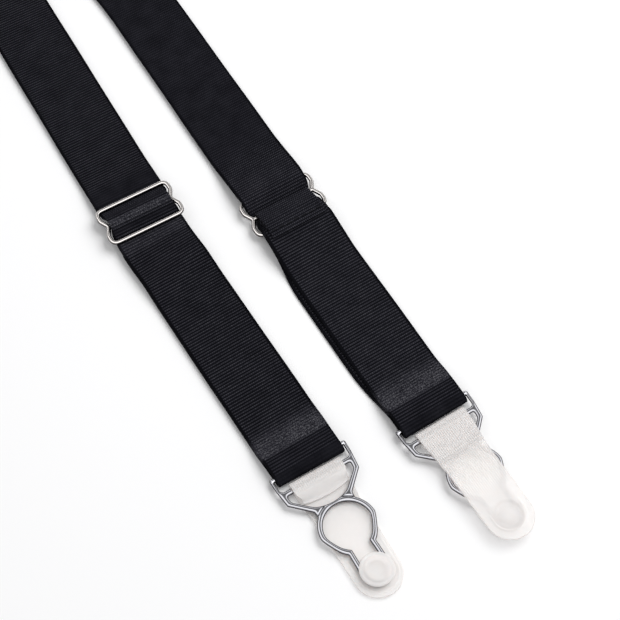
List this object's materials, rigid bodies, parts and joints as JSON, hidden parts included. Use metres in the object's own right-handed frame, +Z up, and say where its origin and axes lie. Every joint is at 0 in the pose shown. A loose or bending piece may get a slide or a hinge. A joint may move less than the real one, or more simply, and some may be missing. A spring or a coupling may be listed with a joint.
{
  "type": "suspenders",
  "caption": "Y-shaped black elastic suspenders: flat webbing straps joined by a stitched patch, wire slider adjusters, and metal garter clips with clear plastic button tabs.",
  "frame": {"origin": "on the table under the middle of the whole object's box", "axes": "+Y along the straps, from the front clips to the back clip; +Z up from the table; +X to the right as the left strap's face is read"},
  "size_m": [0.0774, 0.485, 0.0068],
  "materials": {
    "black_webbing": "ribbed woven elastic",
    "thread": "waxed thread",
    "nickel_wire": "polished nickel",
    "chrome_plate": "polished chrome",
    "clear_plastic": "milky clear",
    "ribbed_clear_plastic": "ribbed milky clear",
    "patch_leather": "fine grain"
  },
  "bodies": {
    "straps": {"patch_back": "patch_leather", "patch_front": "patch_leather", "patch_stitches": "thread", "back_strap": "black_webbing", "back_seam": "thread", "left_upper_strap": "black_webbing", "left_sliding_run": "black_webbing", "right_upper_strap": "black_webbing", "right_sliding_run": "black_webbing"},
    "left_slider": {"left_slider_frame": "nickel_wire", "left_slider_bar": "nickel_wire", "left_strap_crossing": "black_webbing", "left_sewn_end": "black_webbing", "left_seam": "thread", "left_front_run": "black_webbing", "left_back_run": "black_webbing"},
    "left_loop_end": {"left_clip_turn": "black_webbing"},
    "right_slider": {"right_slider_frame": "nickel_wire", "right_slider_bar": "nickel_wire", "right_strap_crossing": "black_webbing", "right_sewn_end": "black_webbing", "right_seam": "thread", "right_front_run": "black_webbing", "right_back_run": "black_webbing"},
    "right_loop_end": {"right_clip_turn": "black_webbing"},
    "left_clip": {"left_clip_frame": "chrome_plate"},
    "left_tab": {"left_tab_band": "ribbed_clear_plastic", "left_tab_strip": "clear_plastic"},
    "left_tab_end": {"left_tab_end": "clear_plastic", "left_button": "clear_plastic"},
    "right_clip": {"right_clip_frame": "chrome_plate"},
    "right_tab": {"right_tab_band": "ribbed_clear_plastic", "right_tab_strip": "clear_plastic"},
    "right_tab_end": {"right_tab_end": "clear_plastic", "right_button": "clear_plastic"},
    "back_clip": {"back_clip_frame": "chrome_plate"},
    "back_tab": {"back_tab_band": "ribbed_clear_plastic", "back_tab_strip": "clear_plastic"},
    "back_tab_end": {"back_tab_end": "clear_plastic", "back_button": "clear_plastic"}
  },
  "joints": [
    {"name": "left_slider_slide", "type": "slide", "parent": "straps", "child": "left_slider", "axis": [0.0723, 0.9974, 0], "range_m": [-0.08, 0.08], "deforming": ["left_sliding_run"]},
    {"name": "left_loop_slide", "type": "slide", "parent": "left_slider", "child": "left_loop_end", "axis": [0.031, 0.9995, 0], "range_m": [-0.04, 0.04], "deforming": ["left_front_run", "left_back_run"]},
    {"name": "right_slider_slide", "type": "slide", "parent": "straps", "child": "right_slider", "axis": [0.0467, 0.9989, 0], "range_m": [-0.08, 0.08], "deforming": ["right_sliding_run"]},
    {"name": "right_loop_slide", "type": "slide", "parent": "right_slider", "child": "right_loop_end", "axis": [0.04, 0.9992, 0], "range_m": [-0.04, 0.04], "deforming": ["right_front_run", "right_back_run"]},
    {"name": "left_clip_hinge", "type": "hinge", "parent": "left_loop_end", "child": "left_clip", "pos_m": [-0.0247, -0.18414, 0.00202], "axis": [0.9984, -0.0571, 0], "range_deg": [-120, 60]},
    {"name": "left_tab_hinge", "type": "hinge", "parent": "left_clip", "child": "left_tab", "pos_m": [-0.02503, -0.19003, 0.00202], "axis": [0.9984, -0.0571, 0], "range_deg": [0, 90]},
    {"name": "left_button_slide", "type": "slide", "parent": "left_tab", "child": "left_tab_end", "axis": [0.0571, 0.9984, 0], "range_m": [0, 0.0155], "deforming": ["left_tab_strip"]},
    {"name": "right_clip_hinge", "type": "hinge", "parent": "right_loop_end", "child": "right_clip", "pos_m": [0.01766, -0.19252, 0.00263], "axis": [-0.9997, 0.0243, 0], "range_deg": [-120, 60]},
    {"name": "right_tab_hinge", "type": "hinge", "parent": "right_clip", "child": "right_tab", "pos_m": [0.01752, -0.19842, 0.00263], "axis": [-0.9997, 0.0243, 0], "range_deg": [0, 90]},
    {"name": "right_button_slide", "type": "slide", "parent": "right_tab", "child": "right_tab_end", "axis": [0.0243, 0.9997, 0], "range_m": [0, 0.0155], "deforming": ["right_tab_strip"]},
    {"name": "back_clip_hinge", "type": "hinge", "parent": "straps", "child": "back_clip", "pos_m": [0.00494, 0.19251, 0.00202], "axis": [-1, 0, 0], "range_deg": [-120, 60]},
    {"name": "back_tab_hinge", "type": "hinge", "parent": "back_clip", "child": "back_tab", "pos_m": [0.00494, 0.19841, 0.00202], "axis": [-1, 0, 0], "range_deg": [0, 90]},
    {"name": "back_button_slide", "type": "slide", "parent": "back_tab", "child": "back_tab_end", "axis": [0, -1, 0], "range_m": [0, 0.0155], "deforming": ["back_tab_strip"]}
  ],
  "couplings": [
    {"joint": "left_loop_slide", "follows": "left_slider_slide", "ratio": -0.5},
    {"joint": "right_loop_slide", "follows": "right_slider_slide", "ratio": -0.5}
  ]
}
